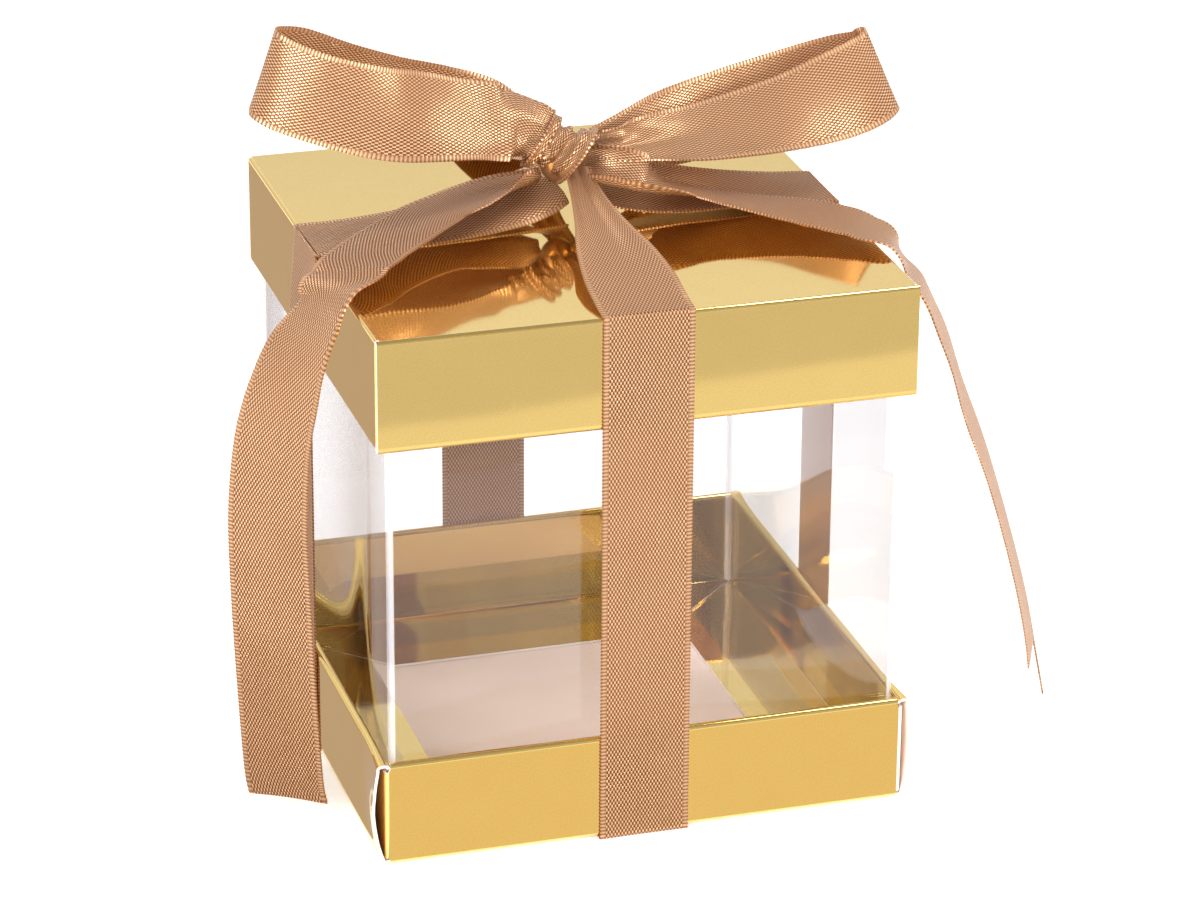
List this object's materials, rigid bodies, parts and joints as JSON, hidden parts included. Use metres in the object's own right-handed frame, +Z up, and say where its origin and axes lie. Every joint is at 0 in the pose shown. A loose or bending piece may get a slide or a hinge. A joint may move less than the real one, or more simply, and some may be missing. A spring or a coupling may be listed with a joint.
{
  "type": "favor box",
  "caption": "Square party favor box with foil-board base tray and lid, a clear folded sleeve between them and a satin ribbon tied in a bow on top.",
  "frame": {"origin": "middle of the square footprint on the surface that the box stands on", "axes": "+Z up through the lid, -Y towards the front pane and +X to its right"},
  "size_m": [0.0933, 0.0604, 0.0856],
  "materials": {
    "foil_board": "gold metallic foil with a fine grain on folded board",
    "clear_sheet": "clear folded plastic sheet",
    "satin_ribbon": "satin ribbon with picot edges"
  },
  "bodies": {
    "base": {"base_floor": "foil_board", "base_front_wall": "foil_board", "base_back_wall": "foil_board", "base_left_wall": "foil_board", "base_right_wall": "foil_board", "base_corner_tabs": "foil_board", "ribbon_under_cross": "satin_ribbon", "ribbon_front_lower": "satin_ribbon", "ribbon_back_lower": "satin_ribbon", "ribbon_left_lower": "satin_ribbon", "ribbon_right_lower": "satin_ribbon"},
    "sleeve": {"sleeve_front_pane": "clear_sheet", "sleeve_back_pane": "clear_sheet", "sleeve_left_pane": "clear_sheet", "sleeve_right_pane": "clear_sheet", "sleeve_bottom_hems": "clear_sheet", "sleeve_glue_tab": "clear_sheet"},
    "lid": {"lid_top": "foil_board", "lid_front_wall": "foil_board", "lid_back_wall": "foil_board", "lid_left_wall": "foil_board", "lid_right_wall": "foil_board", "lid_corner_tabs": "foil_board", "ribbon_front_upper": "satin_ribbon", "ribbon_back_upper": "satin_ribbon", "ribbon_left_upper": "satin_ribbon", "ribbon_right_upper": "satin_ribbon", "ribbon_front_riser": "satin_ribbon", "ribbon_back_riser": "satin_ribbon", "ribbon_left_riser": "satin_ribbon", "ribbon_right_riser": "satin_ribbon", "bow_knot": "satin_ribbon", "bow_left_loop": "satin_ribbon", "bow_right_loop": "satin_ribbon", "bow_left_tail": "satin_ribbon", "bow_right_tail": "satin_ribbon"}
  },
  "joints": [
    {"name": "sleeve_lift", "type": "slide", "parent": "base", "child": "sleeve", "axis": [0, 0, 1], "range_m": [0, 0.014], "deforming": ["ribbon_front_lower", "ribbon_back_lower", "ribbon_left_lower", "ribbon_right_lower"]},
    {"name": "lid_lift", "type": "slide", "parent": "sleeve", "child": "lid", "axis": [0, 0, 1], "range_m": [0, 0.02], "deforming": ["ribbon_front_upper", "ribbon_back_upper", "ribbon_left_upper", "ribbon_right_upper"]}
  ]
}
